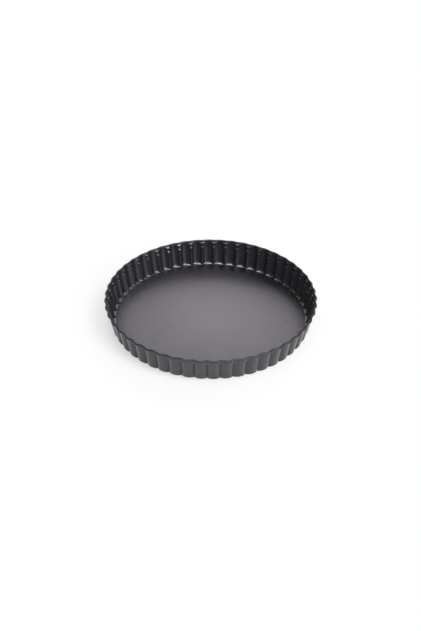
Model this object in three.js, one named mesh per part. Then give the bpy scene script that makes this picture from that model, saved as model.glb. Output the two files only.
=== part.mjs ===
// Fluted tart pan with a loose base: a ring pressed from one steel sheet, and a flat disc that lies on its ledge.
// Millimetres, +Z up. The origin is on the pan's axis, on the plane that the ring stands on. A crest lies on +X.
import * as THREE from "three";
import { mergeVertices } from "three/addons/utils/BufferGeometryUtils.js";

// Driving dimensions of the ring
const rimDiameter = 250; // over the rolled rim, across two opposite flute crests
const panHeight = 32.4; // standing face to the top of the rolled rim, where it is highest
const ringSheet = 0.8; // thickness of the pressed sheet
const beadDiameter = 2.6; // outside of the rolled rim
const wallLean = 10.8; // degrees that the flute crests lean outwards
const fluteCount = 50;
const fluteDepth = 3.2; // crest to ridge on the wall
const neckFluteDepth = 2.3; // crest to ridge above the shoulder
const rimFluteDepth = 1.4; // crest to ridge along the rolled rim
const rimRise = 0.4; // how much higher the rolled rim stands on the ridges than on the crests
const crestShare = 0.85; // the crest's part of a flute's two bend radii, on the inner face
const shoulderDrop = 7.5; // rim top down to the top of the shoulder, where the ridges first draw back
const shoulderRise = 1.9; // height that the shoulder takes
const neckDrop = 3.8; // rim top down to where the ridges draw back again, to the rolled rim
const footRadius = 1.2; // inner radius where a ridge turns into the ledge
const ledgeOverlap = 8; // how far the ledge reaches in under the base

// Driving dimensions of the loose base
const baseSheet = 0.8; // thickness of the disc
const baseEdge = 0.2; // rounding of its cut edge
const baseClearance = 0.3; // sideways, between the disc and the circle where the ring's foot turns up
const seatGap = 0.2; // coating and burrs hold the disc this far off the ledge

// Facets
const halfFlute = [0, crestShare / 2, crestShare, 1]; // columns from a crest to a ridge
const footFacets = 2;
const rimFacets = 2; // in each of the rolled rim's three arcs
const baseSteps = 120;
const edgeFacets = 2;

// Sizes that follow from the driving ones
const lean = THREE.MathUtils.degToRad(wallLean);
const halfTurn = Math.PI / fluteCount; // crest to ridge, as an angle about the axis
const beadRadius = beadDiameter / 2;
const beadCrest = new THREE.Vector2(rimDiameter / 2 - beadRadius, panHeight - rimRise - beadRadius);
const shoulderTop = panHeight - shoulderDrop;
const shoulderFoot = shoulderTop - shoulderRise;
const neckTop = panHeight - neckDrop;
const footSlope = 1 / Math.cos(lean) - Math.tan(lean); // how far a foot reaches sideways, per unit of its radius
const flatRadius = crestFace(ringSheet) - fluteDepth - footRadius * footSlope; // where the ledge's flat ends
const baseRadius = flatRadius - baseClearance;
const ledgeRadius = baseRadius - ledgeOverlap;
const basePlane = ringSheet + seatGap;

// Radius of the wall's inner face on a crest. Its line is tangent to the rolled rim, which curls outwards from it.
function crestFace(z) {
  return beadCrest.x - beadRadius / Math.cos(lean) - (beadCrest.y - z) * Math.tan(lean);
}

// How far the sheet lies inside the crest line, at a share of the way from crest to ridge. Half a flute is two
// arcs that meet on a common tangent. A face that lies further out is the same pair of arcs, offset.
function fluteDrop(share, depth, crestRadius, offset) {
  const halfPitch = crestRadius * halfTurn;
  const turn = 2 * Math.atan(depth / halfPitch);
  const radii = halfPitch / Math.sin(turn);
  const crest = crestShare * radii + offset;
  const ridge = radii - crest;
  const along = share * halfPitch;
  if (along < crest * Math.sin(turn)) return crest - Math.sqrt(crest ** 2 - along ** 2);
  return depth - ridge + Math.sqrt(ridge ** 2 - (halfPitch - along) ** 2);
}

// Point of the fluted wall at a height, on its inner face (offset 0) or its outer one (offset of the sheet).
function wallPoint(z, depth, share, offset) {
  const crest = crestFace(z);
  return new THREE.Vector2(crest + offset / Math.cos(lean) - fluteDrop(share, depth, crest, offset), z);
}

// Points along an arc of the section, ends included. Angles are in radians from the outward radius.
function arc(centre, radius, from, to, facets) {
  return new THREE.EllipseCurve(centre.x, centre.y, radius, radius, from, to).getPoints(facets);
}

// Foot of one face, from the ledge's flat up to the wall. It starts on the same circle all the way round, so it is
// tight at a ridge and wide at a crest.
function foot(plane, share, offset) {
  const radius = (wallPoint(plane, fluteDepth, share, offset).x - flatRadius) / footSlope;
  return arc(new THREE.Vector2(flatRadius, plane + radius), radius, -Math.PI / 2, -lean, footFacets);
}

// Shoulder, where the ridges first draw back, and the neck above it.
function shoulder(share, offset) {
  return [
    wallPoint(shoulderFoot, fluteDepth, share, offset),
    wallPoint(shoulderTop, neckFluteDepth, share, offset),
    wallPoint(neckTop, neckFluteDepth, share, offset),
  ];
}

// Rolled rim, from where the wall's outer face meets it, over the outside and the top, to the inner face. It rises
// towards the ridges along the wall's lean.
function rolledRim(share) {
  const drop = fluteDrop(share, rimFluteDepth, beadCrest.x, 0);
  const rise = (rimRise * drop) / rimFluteDepth;
  const centre = new THREE.Vector2(beadCrest.x - drop + rise * Math.tan(lean), beadCrest.y + rise);
  const innerTouch = Math.PI - lean;
  const outerTouch = innerTouch + Math.acos(1 - ringSheet / beadRadius) - 2 * Math.PI;
  return [
    ...arc(centre, beadRadius, outerTouch, 0, rimFacets),
    ...arc(centre, beadRadius, 0, Math.PI / 2, rimFacets).slice(1),
    ...arc(centre, beadRadius, Math.PI / 2, innerTouch, rimFacets).slice(1),
  ];
}

// Closed section of the ring, anticlockwise from the ledge's lower inner edge and back to it.
function ringSection(share) {
  return [
    new THREE.Vector2(ledgeRadius, 0),
    ...foot(0, share, ringSheet),
    ...shoulder(share, ringSheet),
    ...rolledRim(share),
    ...shoulder(share, 0).reverse(),
    ...foot(ringSheet, share, 0).reverse(),
    new THREE.Vector2(ledgeRadius, ringSheet),
    new THREE.Vector2(ledgeRadius, 0),
  ];
}

// Turns a section about the axis, with +Z up, starting from +X.
function revolve(points, steps) {
  return new THREE.LatheGeometry(points, steps).rotateX(Math.PI / 2).rotateZ(Math.PI / 2);
}

// Welds a turned section into one closed body with smooth normals.
function weld(geometry) {
  geometry.deleteAttribute("uv");
  geometry.deleteAttribute("normal");
  const body = mergeVertices(geometry);
  body.computeVertexNormals();
  return body;
}

// The fluted ring: the crest's section is turned about the axis, then each column is pressed to its own section.
function flutedRing() {
  const shares = [...halfFlute, ...halfFlute.slice(1, -1).reverse()];
  const columns = fluteCount * shares.length;
  const geometry = revolve(ringSection(0), columns);
  const position = geometry.getAttribute("position");
  for (let column = 0; column <= columns; column++) {
    const flute = Math.floor((column % columns) / shares.length);
    const step = column % shares.length;
    const pastCrest = step < halfFlute.length ? shares[step] : 2 - shares[step];
    const angle = (2 * flute + pastCrest) * halfTurn;
    const section = ringSection(shares[step]);
    section.forEach(({ x: radius, y: height }, row) => {
      const vertex = column * section.length + row;
      position.setXYZ(vertex, radius * Math.cos(angle), radius * Math.sin(angle), height);
    });
  }
  return weld(geometry);
}

// The loose base: a flat disc with a rounded cut edge.
function looseBase() {
  const lower = new THREE.Vector2(baseRadius - baseEdge, basePlane + baseEdge);
  const upper = new THREE.Vector2(baseRadius - baseEdge, basePlane + baseSheet - baseEdge);
  const section = [
    new THREE.Vector2(0, basePlane),
    ...arc(lower, baseEdge, -Math.PI / 2, 0, edgeFacets),
    ...arc(upper, baseEdge, 0, Math.PI / 2, edgeFacets),
    new THREE.Vector2(0, basePlane + baseSheet),
  ];
  return weld(revolve(section, baseSteps));
}

// A named piece with its own coating.
function piece(name, geometry, coating) {
  const mesh = new THREE.Mesh(geometry, new THREE.MeshStandardMaterial(coating));
  mesh.name = name;
  return mesh;
}

const pan = new THREE.Group();
pan.name = "tart_pan";
pan.add(piece("fluted_ring", flutedRing(), { color: 0x222226, metalness: 0.1, roughness: 0.3 }));
pan.add(piece("loose_base", looseBase(), { color: 0x74727a, metalness: 0.1, roughness: 0.3 }));

export default pan;
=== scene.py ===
"""Looks of a fluted tart pan with a loose base, built around its solids.

The ring is pressed from one sheet: a ledge, a rounded foot, a fluted wall with a shoulder, and a rolled rim.
The base is a flat disc that lies loose on the ledge. Metres, +Z up. The origin is on the pan's axis, on the
standing face.
"""

import logging
import math
from abc import ABC, abstractmethod
from dataclasses import dataclass
from enum import Enum
from functools import cached_property
from typing import Any

import bmesh
import bpy
from mathutils import Matrix, Vector


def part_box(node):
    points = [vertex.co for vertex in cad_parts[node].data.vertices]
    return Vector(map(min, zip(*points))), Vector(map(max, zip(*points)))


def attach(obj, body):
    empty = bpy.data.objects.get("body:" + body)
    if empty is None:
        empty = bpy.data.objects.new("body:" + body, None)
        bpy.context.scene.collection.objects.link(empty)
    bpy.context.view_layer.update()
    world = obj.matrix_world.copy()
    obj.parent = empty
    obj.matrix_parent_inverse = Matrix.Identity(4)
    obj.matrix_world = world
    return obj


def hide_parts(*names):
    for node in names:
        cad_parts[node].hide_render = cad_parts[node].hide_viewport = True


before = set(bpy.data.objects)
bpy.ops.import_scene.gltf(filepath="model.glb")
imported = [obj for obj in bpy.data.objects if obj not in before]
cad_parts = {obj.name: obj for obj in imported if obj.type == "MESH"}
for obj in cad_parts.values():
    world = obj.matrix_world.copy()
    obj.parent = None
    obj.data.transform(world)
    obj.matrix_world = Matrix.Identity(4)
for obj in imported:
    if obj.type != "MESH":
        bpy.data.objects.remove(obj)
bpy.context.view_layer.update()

MM = 0.001
MICRON = 0.000001
RIM_SKIN = 0.04 * MM
CREST_COLUMNS = 0.6
SMOOTH_BELOW = math.radians(50)
SHARP_ABOVE = math.radians(60)
EDGE_SEGMENTS = 3
NOISE_MEAN = 0.5
GLOSS_COAT = "gloss_coat"
OUTSIDE = "outside"
PHOTO_HEIGHT = 631
SENSOR = 36.0

Colour = tuple[float, float, float]
WHITE: Colour = (1.0, 1.0, 1.0)
log = logging.getLogger("tart_pan")


class Piece(Enum):
    """The pan's two pieces. Each value holds the solid's node, the body that it rides on and its slot."""

    RING = ("fluted_ring", "ring", "ring_coating")
    BASE = ("loose_base", "base", "base_coating")

    @property
    def node(self) -> str:
        """Name of the solid that the piece stands for."""
        return self.value[0]

    @property
    def body(self) -> str:
        """Name of the body that carries the piece."""
        return self.value[1]

    @property
    def slot(self) -> str:
        """Name of the record's material slot."""
        return self.value[2]


@dataclass(frozen=True)
class Step:
    """A step from 0 to 1: the value that gives 0, and the value that gives 1, which may be the lower one."""

    zero: float
    one: float

    def at(self, value: float) -> float:
        """The step at a value, straight between its two ends."""
        return min(max((value - self.zero) / (self.one - self.zero), 0.0), 1.0)


class Field:
    """A value that changes over a surface: a wrapped socket, on which maths adds Math nodes."""

    def __init__(self, shader: "Shader", socket: bpy.types.NodeSocket) -> None:
        """Keeps the socket and the shader that it belongs to."""
        self.shader = shader
        self.socket = socket

    def math(self, operation: str, *others: "Field | float") -> "Field":
        """Adds a Math node whose first input is this value.

        Args:
            operation: The node's operation, such as "ADD".
            others: The node's other inputs.

        Returns:
            The node's result.
        """
        return self.shader.node("ShaderNodeMath", {"operation": operation}, dict(enumerate((self, *others))))

    def __add__(self, other: "Field | float") -> "Field":
        """This value plus another."""
        return self.math("ADD", other)

    __radd__ = __add__

    def __mul__(self, other: "Field | float") -> "Field":
        """This value times another."""
        return self.math("MULTIPLY", other)

    __rmul__ = __mul__

    def __sub__(self, other: "Field | float") -> "Field":
        """This value less another."""
        return self.math("SUBTRACT", other)

    def __rsub__(self, other: float) -> "Field":
        """A number less this value."""
        return self * -1.0 + other

    def over(self, step: Step) -> "Field":
        """Smooth step of this value.

        Args:
            step: The values that give 0 and 1.

        Returns:
            The step, from 0 to 1.
        """
        limits = {"Value": self, "From Min": step.zero, "From Max": step.one}
        return self.shader.node("ShaderNodeMapRange", {"interpolation_type": "SMOOTHSTEP"}, limits)


class Shader:
    """A node tree that is built from expressions."""

    def __init__(self, tree: bpy.types.NodeTree) -> None:
        """Starts from an empty tree."""
        self.tree = tree
        self.tree.nodes.clear()

    def node(
        self,
        kind: str,
        settings: dict[str, Any] | None = None,
        inputs: dict[str | int, Any] | None = None,
        output: str | int = 0,
    ) -> Field | None:
        """Adds a node, sets it up and feeds its sockets.

        Args:
            kind: The node's type.
            settings: The node's own properties, which are set first.
            inputs: A value or a field for each socket, by name or number.
            output: The output socket to use, by name or number.

        Returns:
            The output as a field, or None where the node has none.
        """
        made = self.tree.nodes.new(kind)
        for name, value in (settings or {}).items():
            setattr(made, name, value)
        for name, value in (inputs or {}).items():
            if isinstance(value, Field):
                self.tree.links.new(value.socket, made.inputs[name])
            else:
                made.inputs[name].default_value = value
        return Field(self, made.outputs[output]) if made.outputs else None

    def noise(self, place: Field, scale: float, detail: float = 2.0) -> Field:
        """Noise from 0 to 1, with a mean of one half.

        Args:
            place: The coordinates.
            scale: Cells per metre.
            detail: Octaves added.

        Returns:
            The noise.
        """
        return self.node("ShaderNodeTexNoise", None, {"Vector": place, "Scale": scale, "Detail": detail})

    def streaks(self, place: Field, cells: tuple[float, float, float], detail: float) -> Field:
        """Noise that is drawn out along an axis.

        Args:
            place: The coordinates.
            cells: Cells per metre along X, Y and Z.
            detail: Octaves added.

        Returns:
            The noise, from 0 to 1.
        """
        drawn = self.node("ShaderNodeMapping", None, {"Vector": place, "Scale": cells})
        return self.noise(drawn, 1.0, detail)

    def along(self, axis: str, place: Field) -> Field:
        """One coordinate of a place, along X, Y or Z."""
        return self.node("ShaderNodeSeparateXYZ", None, {0: place}, axis)

    def marked(self, name: str) -> Field:
        """A value that the mesh holds for each of its vertices."""
        return self.node("ShaderNodeAttribute", {"attribute_name": name}, None, "Fac")

    def blend(self, share: Field, first: Any, second: Any) -> Field:
        """Mixes two colours.

        Args:
            share: 0 for the first colour, 1 for the second.
            first: A colour or a field.
            second: A colour or a field.

        Returns:
            The mixed colour.
        """
        factor, a, b, result = 0, 6, 7, 2
        return self.node("ShaderNodeMix", {"data_type": "RGBA"}, {factor: share, a: first, b: second}, result)

    def scaled(self, colour: Colour, tone: Field) -> Field:
        """A colour times a varying tone."""
        return self.node("ShaderNodeVectorMath", {"operation": "SCALE"}, {"Vector": colour, "Scale": tone})


@dataclass(frozen=True)
class Coating(ABC):
    """A non-stick coat sprayed on steel sheet."""

    name: str
    colour: Colour
    metallic: float
    specular: float
    specular_tint: Colour
    roughness: float
    worn_colour: Colour
    worn_metallic: float
    worn_roughness: float
    mottle: float = 0.1
    mottle_scale: float = 26.0
    gloss_change: float = 0.06
    flake: float = 0.25
    flake_scale: float = 2600.0
    flake_size: Step = Step(0.35, 0.1)
    flake_patch: Step = Step(0.5, 0.75)
    flakes_per_patch: float = 6.0
    peel_height: float = 3 * MICRON
    peel_scale: float = 850.0
    mark_height: float = 1.5 * MICRON
    gloss_index: float = 1.9
    gloss_roughness: float = 0.15

    @abstractmethod
    def wear(self, shader: Shader, place: Field) -> Field:
        """Where the coat is worn.

        Args:
            shader: The material's shader.
            place: Object coordinates.

        Returns:
            The wear, from 0 to 1.
        """

    @abstractmethod
    def marks(self, shader: Shader, place: Field) -> Field:
        """Fine marks left by the tool that made the piece.

        Args:
            shader: The material's shader.
            place: Object coordinates.

        Returns:
            The marks, from 0 to 1.
        """

    @abstractmethod
    def shade(self, shader: Shader, place: Field) -> Field:
        """How much the coat's tone changes by place; on the base, a painted sheen.

        Args:
            shader: The material's shader.
            place: Object coordinates.

        Returns:
            The change of tone, 0 for none.
        """

    def gloss(self, shader: Shader) -> Field | float:
        """Where the coat dried thick and glossy, from 0 to 1."""
        return 0.0

    def backed(self, shader: Shader, tone: Field, colour: Field, roughness: Field) -> tuple[Field, Field]:
        """Adds the finish of the back, where it differs.

        Args:
            shader: The material's shader.
            tone: The coat's changes of tone.
            colour: Colour of the coat.
            roughness: Its roughness.

        Returns:
            The colour and the roughness, with those of the back added.
        """
        return colour, roughness

    def material(self) -> bpy.types.Material:
        """Builds the coat's material.

        Returns:
            The material.
        """
        made = bpy.data.materials.new(self.name)
        made.use_nodes = True
        shader = Shader(made.node_tree)
        place = shader.node("ShaderNodeTexCoord", output="Object")
        mottle = shader.noise(place, self.mottle_scale) - NOISE_MEAN
        cells = shader.node("ShaderNodeTexVoronoi", None, {"Vector": place, "Scale": self.flake_scale})
        patches = shader.noise(place, self.flake_scale / self.flakes_per_patch)
        flake = cells.over(self.flake_size) * patches.over(self.flake_patch)
        wear = self.wear(shader, place)
        marks = self.marks(shader, place)
        ripple = marks - NOISE_MEAN
        tone = 1.0 + mottle * (2 * self.mottle) + flake * self.flake + ripple * self.mottle
        # the base's painted sheen, and the ring's darkening towards the foot
        tone = tone + self.shade(shader, place)
        satin = self.roughness + mottle * self.gloss_change + ripple * self.gloss_change
        colour, roughness = self.backed(shader, tone, shader.scaled(self.colour, tone), satin)
        colour = shader.blend(wear, colour, (*self.worn_colour, 1.0))
        roughness = roughness + wear * (self.worn_roughness - roughness)
        relief = shader.noise(place, self.peel_scale) * self.peel_height + marks * self.mark_height
        normal = shader.node("ShaderNodeBump", None, {"Height": relief, "Distance": 1.0})
        coat = shader.node(
            "ShaderNodeBsdfPrincipled",
            None,
            {
                "Base Color": colour,
                "Metallic": self.metallic + wear * (self.worn_metallic - self.metallic),
                "Roughness": roughness,
                "Specular IOR Level": self.specular,
                "Specular Tint": (*self.specular_tint, 1.0),
                "Coat Weight": self.gloss(shader),
                "Coat IOR": self.gloss_index,
                "Coat Roughness": self.gloss_roughness,
                "Normal": normal,
            },
        )
        shader.node("ShaderNodeOutputMaterial", None, {"Surface": coat})
        return made


@dataclass(frozen=True)
class RingCoating(Coating):
    """The ring's semi-gloss coat, with upright draw marks on the wall.

    It is a grey lacquer outside, and is rubbed down to dark steel on the rolled rim.
    """

    lacquer: Colour = (0.046, 0.0445, 0.048)
    lacquer_roughness: float = 0.22
    rim_top: float = 0.0
    rim_worn: float = 2.0 * MM
    rim_bare: float = 0.9 * MM
    kept_scale: float = 170.0
    kept_detail: float = 4.0
    kept_patch: Step = Step(0.5, 0.75)
    kept_share: float = 0.5
    draw_width: float = 1400.0
    draw_length: float = 60.0
    draw_detail: float = 3.0
    foot_darkening: float = 0.15

    def wear(self, shader: Shader, place: Field) -> Field:
        """A band along the rolled rim, with patches that keep some of the coat.

        Args:
            shader: The material's shader.
            place: Object coordinates.

        Returns:
            The wear, from 0 to 1.
        """
        worn = Step(self.rim_top - self.rim_worn, self.rim_top - self.rim_bare)
        kept = shader.noise(place, self.kept_scale, self.kept_detail).over(self.kept_patch)
        return shader.along("Z", place).over(worn) * (1.0 - kept * self.kept_share)

    def marks(self, shader: Shader, place: Field) -> Field:
        """Streaks that run up the wall, as the press draws them."""
        cells = (self.draw_width, self.draw_width, self.draw_length)
        return shader.streaks(place, cells, self.draw_detail)

    def gloss(self, shader: Shader) -> Field:
        """Thick where the mesh says that the wet coat settled."""
        return shader.marked(GLOSS_COAT)

    def backed(self, shader: Shader, tone: Field, colour: Field, roughness: Field) -> tuple[Field, Field]:
        """Adds the lacquer, where the mesh says that a face is on the outside.

        Args:
            shader: The material's shader.
            tone: The coat's changes of tone.
            colour: Colour of the coat.
            roughness: Its roughness.

        Returns:
            The colour and the roughness, with those of the lacquer added.
        """
        outside = shader.marked(OUTSIDE)
        colour = shader.blend(outside, colour, shader.scaled(self.lacquer, tone))
        return colour, roughness + outside * (self.lacquer_roughness - roughness)

    def shade(self, shader: Shader, place: Field) -> Field:
        """Darker towards the foot."""
        return shader.along("Z", place).over(Step(self.rim_top / 2, 0.0)) * -self.foot_darkening


@dataclass(frozen=True)
class BaseCoating(Coating):
    """The base's satin coat, with faint rolling grain, a painted sheen in the centre, and a worn cut edge
    painted dark as shade.
    """

    edge_radius: float = 0.0
    edge_worn: float = 0.6 * MM
    edge_bare: float = 0.25 * MM
    kept_scale: float = 120.0
    kept_detail: float = 4.0
    kept_share: float = 0.3
    grain_width: float = 9000.0
    grain_length: float = 450.0
    grain_detail: float = 1.0
    # painted sheen: how much paler the disc's centre is painted
    painted_sheen: float = 0.28

    @staticmethod
    def off_axis(shader: Shader, place: Field) -> Field:
        """Distance from the pan's axis.

        Args:
            shader: The material's shader.
            place: Object coordinates.

        Returns:
            The distance.
        """
        x = shader.along("X", place)
        y = shader.along("Y", place)
        return (x * x + y * y).math("SQRT")

    def wear(self, shader: Shader, place: Field) -> Field:
        """A band along the cut edge, uneven in places: worn, and painted dark as shade beside the ring.

        Args:
            shader: The material's shader.
            place: Object coordinates.

        Returns:
            The wear, from 0 to 1.
        """
        worn = Step(self.edge_radius - self.edge_worn, self.edge_radius - self.edge_bare)
        uneven = shader.noise(place, self.kept_scale, self.kept_detail) * self.kept_share
        return self.off_axis(shader, place).over(worn) * (1.0 - self.kept_share + uneven)

    def shade(self, shader: Shader, place: Field) -> Field:
        """Paler towards the centre: a painted sheen."""
        return self.off_axis(shader, place).over(Step(self.edge_radius, 0.0)) * self.painted_sheen

    def marks(self, shader: Shader, place: Field) -> Field:
        """Grain along Y, the way that the sheet was rolled."""
        cells = (self.grain_width, self.grain_length, self.grain_width)
        return shader.streaks(place, cells, self.grain_detail)


def add_object(name: str, bm: bmesh.types.BMesh) -> bpy.types.Object:
    """Turns a bmesh into a smooth-shaded object at the origin.

    Args:
        name: The object's name.
        bm: The mesh, which is freed.

    Returns:
        The object, linked to the scene.
    """
    mesh = bpy.data.meshes.new(name)
    bm.to_mesh(mesh)
    bm.free()
    mesh.shade_smooth()
    mesh.set_sharp_from_angle(angle=SMOOTH_BELOW)
    made = bpy.data.objects.new(name, mesh)
    bpy.context.scene.collection.objects.link(made)
    return made


def sharp_edges(bm: bmesh.types.BMesh) -> list[bmesh.types.BMEdge]:
    """Edges where two faces meet at about a right angle.

    Args:
        bm: A closed mesh.

    Returns:
        The edges.
    """
    return [edge for edge in bm.edges if edge.calc_face_angle() > SHARP_ABOVE]


def round_edges(bm: bmesh.types.BMesh, radius: float) -> None:
    """Rounds the sharp edges of a closed mesh.

    Args:
        bm: The mesh.
        radius: Width of the rounding.
    """
    bmesh.ops.bevel(
        bm,
        geom=sharp_edges(bm),
        offset=radius,
        segments=EDGE_SEGMENTS,
        profile=0.5,
        affect="EDGES",
        material=-1,
    )


@dataclass
class FlutedRing:
    """The ring, pressed from one sheet. Its sizes are those of the inner face, on a flute crest."""

    rim_radius: float
    height: float
    coating: RingCoating
    sheet: float = 0.8 * MM
    bead_radius: float = 1.3 * MM
    lean: float = math.radians(10.8)
    flutes: int = 50
    flute_depth: float = 3.2 * MM
    neck_flute_depth: float = 2.3 * MM
    rim_flute_depth: float = 1.4 * MM
    rim_rise: float = 0.4 * MM
    crest_share: float = 0.85
    shoulder_top: float = 24.9 * MM
    shoulder_rise: float = 1.9 * MM
    neck_top: float = 28.7 * MM
    neck_rise: float = 1.2 * MM
    step_edge: float = 0.25 * MM
    foot_radius: float = 1.2 * MM
    crest_foot: float = 4.0 * MM
    ledge_width: float = 8.3 * MM
    curl_end: float = math.radians(-108)
    cut_edge: float = 0.12 * MM
    steps_per_flute: int = 20
    ledge_parts: int = 3
    foot_parts: int = 8
    wall_parts: tuple[int, ...] = (4, 6, 1, 2, 5, 2)
    curl_parts: int = 16
    thin_gloss: float = 0.45
    outer_gloss: float = 0.1
    faces_out: Step = Step(0.0, 0.3)
    faces_down: Step = Step(-0.3, -0.6)
    ridge_tread: Step = Step(0.3, 0.75)
    foot_tread: Step = Step(0.55, 0.85)
    foot_start: Step = Step(0.2, 0.5)
    channel: Step = Step(0.92, 0.7)

    @cached_property
    def bead(self) -> Vector:
        """Centre of the rolled rim's section on a crest: radius and height."""
        return Vector((self.rim_radius - self.bead_radius, self.height - self.rim_rise - self.bead_radius))

    @cached_property
    def touch(self) -> float:
        """Height where the wall meets the rolled rim on a crest."""
        return self.bead.y + self.bead_radius * math.sin(self.lean)

    @cached_property
    def shoulder_foot(self) -> float:
        """Height where the shoulder starts."""
        return self.shoulder_top - self.shoulder_rise

    @cached_property
    def collar(self) -> float:
        """Height where the ridges have drawn back to the rolled rim's depth."""
        return self.neck_top + self.neck_rise

    @cached_property
    def foot_slope(self) -> float:
        """How far a foot reaches sideways, per unit of its radius."""
        return 1 / math.cos(self.lean) - math.tan(self.lean)

    @cached_property
    def ledge_edge(self) -> float:
        """Radius of the ledge's inner edge."""
        return self.flat_end(1.0) - self.ledge_width

    def foot_at(self, share: float) -> float:
        """Inner radius of the foot, which is tight on a ridge and wide on a crest.

        Args:
            share: Place on the flute, from 0 on the crest to 1 on the ridge.

        Returns:
            The radius.
        """
        inwards = self.drop(share, self.flute_depth, self.crest_face(self.sheet))
        return self.crest_foot + (self.foot_radius - self.crest_foot) * inwards / self.flute_depth

    def flat_end(self, share: float) -> float:
        """Radius that the ledge's flat ends on, which reaches further into a channel than under a ridge.

        Args:
            share: Place on the flute, from 0 on the crest to 1 on the ridge.

        Returns:
            The radius.
        """
        foot_face = self.crest_face(self.sheet)
        inwards = self.drop(share, self.flute_depth, foot_face)
        return foot_face - inwards - self.foot_at(share) * self.foot_slope

    def crest_face(self, height: float) -> float:
        """Radius of the wall on a crest.

        Args:
            height: Height above the standing face.

        Returns:
            The radius, on the line that is tangent to the rolled rim.
        """
        below_bead = self.bead.y - height
        return self.bead.x - self.bead_radius / math.cos(self.lean) - below_bead * math.tan(self.lean)

    def drop(self, share: float, depth: float, crest_radius: float) -> float:
        """How far a flute lies inside its crest line. Half a flute is two arcs that meet on a common tangent.

        Args:
            share: Place on the flute, from 0 on the crest to 1 on the ridge.
            depth: Crest to ridge.
            crest_radius: Radius of the crest line.

        Returns:
            The distance inwards.
        """
        half_pitch = crest_radius * math.pi / self.flutes
        turn = 2 * math.atan(depth / half_pitch)
        radii = half_pitch / math.sin(turn)
        crest = self.crest_share * radii
        ridge = radii - crest
        along = share * half_pitch
        if along < crest * math.sin(turn):
            return crest - math.sqrt(crest**2 - along**2)
        return depth - ridge + math.sqrt(ridge**2 - (half_pitch - along) ** 2)

    def share_of(self, column: float) -> float:
        """Spreads the columns over a flute's two arcs, since the ridge is much narrower than the crest.

        Args:
            column: Place among the columns, from 0 on the crest to 1 on the ridge.

        Returns:
            Place on the flute, from 0 on the crest to 1 on the ridge.
        """
        if column < CREST_COLUMNS:
            return column / CREST_COLUMNS * self.crest_share
        return 1 - (1 - column) / (1 - CREST_COLUMNS) * (1 - self.crest_share)

    def wall_drop(self, share: float, height: float, crest_radius: float) -> float:
        """How far the wall lies inside its crest line.

        Its ridges are pressed back in two steps: at the shoulder, and under the rolled rim, whose gentler
        wave it then joins.

        Args:
            share: Place on the flute, from 0 on the crest to 1 on the ridge.
            height: Height above the standing face.
            crest_radius: Radius of the crest line.

        Returns:
            The distance inwards.
        """
        shoulder = Step(self.shoulder_foot, self.shoulder_top).at(height)
        neck = Step(self.neck_top, self.collar).at(height)
        first = (self.flute_depth - self.neck_flute_depth) * shoulder**2
        second = (self.neck_flute_depth - self.rim_flute_depth) * neck**2
        flute = min(self.drop(share, self.flute_depth, crest_radius), self.flute_depth - first - second)
        joined = Step(self.collar, self.touch).at(height)
        return flute + (self.rim_wave(share) - flute) * joined

    def rim_wave(self, share: float) -> float:
        """How far the rolled rim lies inside its crest line, at a share of the way from crest to ridge."""
        return self.rim_flute_depth * (1 - math.cos(math.pi * share)) / 2

    def on_rim(self, radius: float, height: float) -> bool:
        """Whether a point of the crest's section lies on the rolled rim."""
        return height > self.touch - MICRON or radius > self.crest_face(height) + self.sheet / 2

    def pressed(self, radius: float, height: float, share: float) -> tuple[float, float]:
        """Where a point of the crest's section goes on another part of a flute.

        Args:
            radius: The point's radius on the crest.
            height: Its height there.
            share: Place on the flute, from 0 on the crest to 1 on the ridge.

        Returns:
            Its new radius and height.
        """
        if self.on_rim(radius, height):
            inwards = self.rim_wave(share)
            lift = self.rim_rise * inwards / self.rim_flute_depth
            return radius - inwards + lift * math.tan(self.lean), height + lift
        if height > self.shoulder_foot:
            return radius - self.wall_drop(share, height, radius), height
        flat_end, crest_flat = self.flat_end(share), self.flat_end(0.0)
        if radius < crest_flat + MICRON:
            stretch = (flat_end - self.ledge_edge) / (crest_flat - self.ledge_edge)
            return self.ledge_edge + (radius - self.ledge_edge) * stretch, height
        shrink = self.foot_at(share) / self.crest_foot
        crest_top = self.crest_foot * (1 - math.sin(self.lean))
        above_ledge = height - self.sheet
        if above_ledge <= crest_top:
            return flat_end + (radius - crest_flat) * shrink, self.sheet + above_ledge * shrink
        wall = self.shoulder_foot - self.sheet
        up = (above_ledge - crest_top) / (wall - crest_top)
        new_height = self.sheet + crest_top * shrink + up * (wall - crest_top * shrink)
        face = self.crest_face(new_height)
        return face - self.drop(share, self.flute_depth, face), new_height

    def draw_section(self, bm: bmesh.types.BMesh) -> None:
        """Draws the inner face's section on a crest, from the ledge's edge to the end of the curl.

        Args:
            bm: An empty mesh.
        """
        tip = bm.verts.new((self.ledge_edge, 0, self.sheet))
        tip = self.line_to(bm, tip, self.flat_end(0.0), self.sheet, self.ledge_parts)
        foot_centre = (self.flat_end(0.0), 0, self.sheet + self.crest_foot)
        tip = self.arc_on(bm, tip, foot_centre, self.lean - math.pi / 2, self.foot_parts)
        stops = (
            self.shoulder_foot,
            self.shoulder_top,
            self.shoulder_top + self.step_edge,
            self.neck_top,
            self.collar,
            self.touch,
        )
        for height, parts in zip(stops, self.wall_parts, strict=True):
            tip = self.line_to(bm, tip, self.crest_face(height), height, parts)
        bead_centre = (self.bead.x, 0, self.bead.y)
        self.arc_on(bm, tip, bead_centre, math.pi - self.lean - self.curl_end, self.curl_parts)

    @staticmethod
    def line_to(
        bm: bmesh.types.BMesh, tip: bmesh.types.BMVert, radius: float, height: float, parts: int
    ) -> bmesh.types.BMVert:
        """Extrudes the section's end along a straight line.

        Args:
            bm: The mesh.
            tip: The section's last vertex.
            radius: Radius of the line's end.
            height: Height of the line's end.
            parts: Number of edges in the line.

        Returns:
            The section's new last vertex.
        """
        step = (Vector((radius, 0, height)) - tip.co) / parts
        for _ in range(parts):
            tip = bmesh.ops.extrude_vert_indiv(bm, verts=[tip])["verts"][0]
            bmesh.ops.translate(bm, verts=[tip], vec=step)
        return tip

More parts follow.
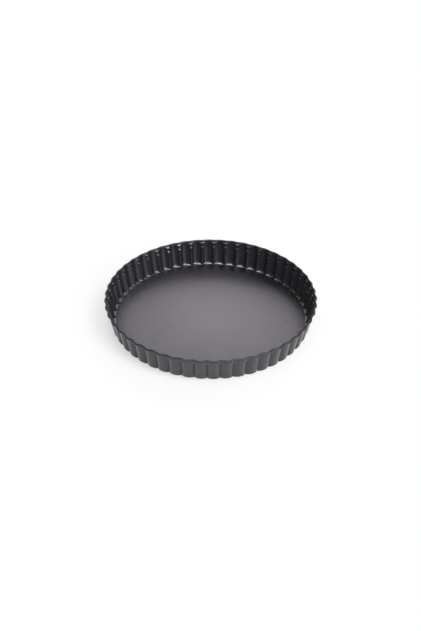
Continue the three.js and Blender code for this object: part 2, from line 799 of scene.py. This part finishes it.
    @staticmethod
    def arc_on(
        bm: bmesh.types.BMesh,
        tip: bmesh.types.BMVert,
        centre: tuple[float, float, float],
        turn: float,
        steps: int,
    ) -> bmesh.types.BMVert:
        """Spins the section's end about a centre.

        Args:
            bm: The mesh.
            tip: The section's last vertex.
            centre: The arc's centre.
            turn: Angle about +Y.
            steps: Number of edges in the arc.

        Returns:
            The section's new last vertex.
        """
        spun = bmesh.ops.spin(bm, geom=[tip], cent=centre, axis=(0, 1, 0), angle=turn, steps=steps)
        return spun["geom_last"][0]

    def build(self) -> bpy.types.Object:
        """Builds the ring: turns the section, presses the flutes, then gives the sheet its thickness.

        Returns:
            The ring.
        """
        bm = bmesh.new()
        self.draw_section(bm)
        bmesh.ops.spin(
            bm,
            geom=bm.verts[:] + bm.edges[:],
            cent=(0, 0, 0),
            axis=(0, 0, 1),
            angle=math.tau,
            steps=self.flutes * self.steps_per_flute,
            use_merge=True,
        )
        for vert in bm.verts:
            turns = math.atan2(vert.co.y, vert.co.x) * self.flutes / math.tau
            crest = round(turns)
            share = self.share_of(2 * abs(turns - crest))
            angle = (crest + math.copysign(share / 2, turns - crest)) * math.tau / self.flutes
            radius, height = self.pressed(math.hypot(vert.co.x, vert.co.y), vert.co.z, share)
            vert.co = (radius * math.cos(angle), radius * math.sin(angle), height)
        bmesh.ops.remove_doubles(bm, verts=bm.verts[:], dist=MICRON)
        bmesh.ops.recalc_face_normals(bm, faces=bm.faces[:])
        if min(bm.faces, key=lambda face: face.calc_center_median().z).normal.z < 0:
            bmesh.ops.reverse_faces(bm, faces=bm.faces[:])
        bmesh.ops.solidify(bm, geom=bm.faces[:], thickness=self.sheet)
        round_edges(bm, self.cut_edge)
        self.mark_coats(bm)
        return add_object("fluted_ring_sheet", bm)

    def mark_coats(self, bm: bmesh.types.BMesh) -> None:
        """Marks which faces are outside, and how thick the gloss coat dried, on all that lies below the rim.

        Args:
            bm: The finished ring.
        """
        gloss = bm.verts.layers.float.new(GLOSS_COAT)
        outside = bm.verts.layers.float.new(OUTSIDE)
        bm.normal_update()
        for vert in bm.verts:
            if vert.co.z > self.collar:
                continue
            turns = math.atan2(vert.co.y, vert.co.x) * self.flutes / math.tau
            share = 2 * abs(turns - round(turns))
            outwards = vert.normal.dot(Vector((vert.co.x, vert.co.y, 0)).normalized())
            vert[outside] = max(self.faces_out.at(outwards), self.faces_down.at(vert.normal.z))
            inside = self.inner_gloss(vert.co.z, vert.normal.z, share)
            vert[gloss] = inside + (self.outer_gloss - inside) * vert[outside]

    def inner_gloss(self, height: float, upwards: float, share: float) -> float:
        """How thick the gloss coat dried inside.

        It settled on the steps of the ridges, and ran from the ridges' feet into those of the channels.

        Args:
            height: Height above the standing face.
            upwards: Upward part of the surface's normal.
            share: Place on the flute, from 0 on the crest to 1 on the ridge.

        Returns:
            The thickness, from 0 to 1.
        """
        if height >= self.shoulder_foot:
            return self.thin_gloss + (1 - self.thin_gloss) * self.ridge_tread.at(upwards)
        pooled = self.channel.at(share)
        thin = self.thin_gloss * (1 - self.foot_start.at(upwards) * (1 - pooled))
        return thin + (1 - thin) * self.foot_tread.at(upwards) * pooled

    def dress(self, ring: bpy.types.Object) -> None:
        """Gives the ring its coat."""
        ring.data.materials.append(self.coating.material())


@dataclass
class LooseBase:
    """The flat disc that lies on the ring's ledge."""

    radius: float
    bottom: float
    top: float
    coating: BaseCoating
    cut_edge: float = 0.2 * MM
    steps: int = 300
    rings: int = 6

    def build(self) -> bpy.types.Object:
        """Builds the disc: a circle, extruded, with a rounded edge.

        Returns:
            The disc.
        """
        bm = bmesh.new()
        bmesh.ops.create_circle(bm, cap_ends=True, radius=self.radius, segments=self.steps)
        bmesh.ops.translate(bm, verts=bm.verts[:], vec=(0, 0, self.bottom))
        raised = bmesh.ops.extrude_face_region(bm, geom=bm.faces[:], use_keep_orig=True)["geom"]
        upper = [item for item in raised if isinstance(item, bmesh.types.BMVert)]
        bmesh.ops.translate(bm, verts=upper, vec=(0, 0, self.top - self.bottom))
        bmesh.ops.recalc_face_normals(bm, faces=bm.faces[:])
        round_edges(bm, self.cut_edge)
        for _ in range(self.rings):
            flats = [face for face in bm.faces if len(face.verts) == self.steps]
            bmesh.ops.inset_individual(bm, faces=flats, thickness=self.radius / (self.rings + 1))
        centres = [face for face in bm.faces if len(face.verts) == self.steps]
        bmesh.ops.poke(bm, faces=centres)
        return add_object("loose_base_disc", bm)

    def dress(self, disc: bpy.types.Object) -> None:
        """Gives the disc its coat."""
        disc.data.materials.append(self.coating.material())


@dataclass(frozen=True)
class Lamp:
    """A soft lamp, far away: a patch of light in the sky."""

    name: str
    azimuth: float
    elevation: float
    spread: float
    level: float
    colour: Colour = WHITE

    def build(self) -> None:
        """Adds the lamp. Its level is the brightness that it alone gives a white sheet that faces it."""
        data = bpy.data.lights.new(self.name, "SUN")
        data.energy = self.level * math.pi
        data.angle = math.radians(self.spread)
        data.color = self.colour
        made = bpy.data.objects.new(self.name, data)
        made.rotation_euler = (math.radians(90 - self.elevation), 0, math.radians(self.azimuth))
        bpy.context.scene.collection.objects.link(made)


@dataclass(frozen=True)
class Studio:
    """Plain pale floor, and a room that is white behind the pan and along the skyline, and dimmer elsewhere.

    The room's steps are on the parts of a direction: Y for back and front, X for the sides, Z for height.
    """

    lamps: tuple[Lamp, ...]
    floor_size: float = 6.0
    floor_colour: Colour = (0.85, 0.846, 0.843)
    glow_left: float = 0.5
    glow_right: float = 0.86
    glow_reach: float = 150 * MM
    floor_gap: float = 0.05 * MM
    top: float = 0.15
    front: float = 0.55
    back: float = 1.12
    back_fall: float = 0.4
    left_fall: float = 0.7
    side: float = 0.25
    right_colour: Colour = (0.9, 0.94, 1.0)
    to_back: Step = Step(0.15, 0.55)
    to_front: Step = Step(-0.15, -0.6)
    to_side: Step = Step(0.1, 0.6)
    to_left: Step = Step(-0.2, -0.5)
    back_high: Step = Step(0.45, 0.9)
    side_high: Step = Step(0.35, 0.6)
    skyline: Step = Step(0.2, 0.08)

    def build(self) -> None:
        """Builds the floor, the surroundings and the lamps."""
        self.lay_floor()
        self.light_world()
        for lamp in self.lamps:
            lamp.build()

    def lay_floor(self) -> None:
        """Lays the floor under the standing face.

        It glows to the eye, most of all on the right, so the pan's shadow is faint there.
        """
        bm = bmesh.new()
        bmesh.ops.create_grid(bm, x_segments=1, y_segments=1, size=self.floor_size / 2)
        bmesh.ops.translate(bm, verts=bm.verts[:], vec=(0, 0, -self.floor_gap))
        floor = add_object("floor", bm)
        paper = bpy.data.materials.new("white_paper")
        paper.use_nodes = True
        shader = Shader(paper.node_tree)
        seen = shader.node("ShaderNodeLightPath", output="Is Camera Ray")
        for ray in ("Is Glossy Ray", "Is Transmission Ray"):
            seen = seen.math("MAXIMUM", shader.node("ShaderNodeLightPath", output=ray))
        matt = shader.node("ShaderNodeBsdfDiffuse", None, {"Color": (*self.floor_colour, 1.0)})
        glow = shader.node("ShaderNodeEmission", None, {"Color": (*WHITE, 1.0), "Strength": 1.0})
        place = shader.node("ShaderNodeTexCoord", output="Object")
        rightwards = shader.along("X", place).over(Step(-self.glow_reach, self.glow_reach))
        share = self.glow_left + rightwards * (self.glow_right - self.glow_left)
        surface = shader.node("ShaderNodeMixShader", None, {0: seen * share, 1: matt, 2: glow})
        shader.node("ShaderNodeOutputMaterial", None, {"Surface": surface})
        floor.data.materials.append(paper)

    def light_world(self) -> None:
        """Lights the room: each side has its own level."""
        world = bpy.data.worlds.new("studio_room")
        world.use_nodes = True
        bpy.context.scene.world = world
        shader = Shader(world.node_tree)
        way = shader.node("ShaderNodeTexCoord", output="Generated")
        x, y, z = (shader.along(axis, way) for axis in "XYZ")
        behind = y.over(self.to_back) * (1.0 - z.over(self.back_high) * self.back_fall) * self.back
        behind = behind * (1.0 - x.over(self.to_left) * self.left_fall)
        before = y.over(self.to_front) * self.front
        beside = x.math("ABSOLUTE").over(self.to_side) * (1.0 - z.over(self.side_high)) * self.side
        skyline = z.over(self.skyline)
        strength = behind.math("MAXIMUM", before).math("MAXIMUM", beside)
        strength = strength.math("MAXIMUM", skyline).math("MAXIMUM", self.top)
        right = x.over(self.to_side) * (1.0 - skyline)
        tint = shader.blend(right, (*WHITE, 1.0), (*self.right_colour, 1.0))
        room = shader.node("ShaderNodeBackground", None, {"Color": tint, "Strength": strength})
        shader.node("ShaderNodeOutputWorld", None, {"Surface": room})


@dataclass(frozen=True)
class PhotoCamera:
    """The camera at the photograph's place. Angles are in degrees."""

    focal_pixels: float = 912.0
    distance: float = 1.092
    azimuth: float = 1.7
    elevation: float = 36.4
    roll: float = 0.43
    right: float = -0.16 * MM
    up: float = 1.5 * MM

    def build(self) -> None:
        """Adds the camera, aimed past the origin by the right and up offsets."""
        turn, rise = math.radians(self.azimuth), math.radians(self.elevation)
        back = Vector((math.sin(turn) * math.cos(rise), -math.cos(turn) * math.cos(rise), math.sin(rise)))
        right = Vector((math.cos(turn), math.sin(turn), 0))
        up = back.cross(right)
        data = bpy.data.cameras.new("photo_camera")
        data.sensor_width = SENSOR
        data.lens = self.focal_pixels * SENSOR / PHOTO_HEIGHT
        made = bpy.data.objects.new("photo_camera", data)
        axes = Matrix((right, up, back)).transposed() @ Matrix.Rotation(math.radians(self.roll), 3, "Z")
        eye = back * self.distance + right * self.right + up * self.up
        made.matrix_world = Matrix.Translation(eye) @ axes.to_4x4()
        bpy.context.scene.collection.objects.link(made)
        bpy.context.scene.camera = made


def place_piece(made: bpy.types.Object, piece: Piece) -> None:
    """Puts a finished piece in the place of its solid and reports it.

    Args:
        made: The finished object.
        piece: Which piece it is.
    """
    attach(made, piece.body)
    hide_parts(piece.node)
    made.data.calc_loop_triangles()
    log.info("%s stands for %s: %d triangles", made.name, piece.node, len(made.data.loop_triangles))


def main() -> None:
    """Builds the pan, the studio and the camera."""
    logging.basicConfig(level=logging.INFO, format="%(name)s: %(message)s")
    bpy.context.scene.view_settings.view_transform = "Standard"
    PhotoCamera().build()
    ring_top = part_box(Piece.RING.node)[1]
    base_low, base_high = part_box(Piece.BASE.node)

    ring_coat = RingCoating(
        name="ring_coating",
        colour=(0.014, 0.0135, 0.0165),
        metallic=0.0,
        specular=0.35,
        specular_tint=(0.92, 0.89, 1.0),
        roughness=0.2,
        worn_colour=(0.068, 0.066, 0.07),
        worn_metallic=1.0,
        worn_roughness=0.43,
        rim_top=ring_top.z,
    )
    ring = FlutedRing(rim_radius=ring_top.x - RIM_SKIN, height=ring_top.z, coating=ring_coat)
    sheet = ring.build()
    ring.dress(sheet)
    place_piece(sheet, Piece.RING)

    base_coat = BaseCoating(
        name="base_coating",
        colour=(0.198, 0.187, 0.204),
        metallic=1.0,
        specular=0.5,
        specular_tint=WHITE,
        roughness=0.29,
        # the cut edge's wear, painted dark as shade where the disc meets the ring
        worn_colour=(0.03, 0.029, 0.031),
        worn_metallic=1.0,
        worn_roughness=0.55,
        mark_height=130 * MICRON,
        edge_radius=base_high.x,
    )
    base = LooseBase(radius=base_high.x, bottom=base_low.z, top=base_high.z, coating=base_coat)
    disc = base.build()
    base.dress(disc)
    place_piece(disc, Piece.BASE)

    lamps = (
        Lamp("overhead_softbox", azimuth=-45.0, elevation=80.0, spread=31.0, level=0.37),
        Lamp("middle_softbox", azimuth=30.0, elevation=72.0, spread=20.0, level=0.1),
        Lamp("right_softbox", azimuth=58.0, elevation=54.0, spread=24.0, level=0.32),
        Lamp("window", azimuth=48.0, elevation=17.0, spread=50.0, level=0.42, colour=(0.92, 0.95, 1.0)),
    )
    Studio(lamps=lamps).build()


if __name__ == "__main__":
    main()
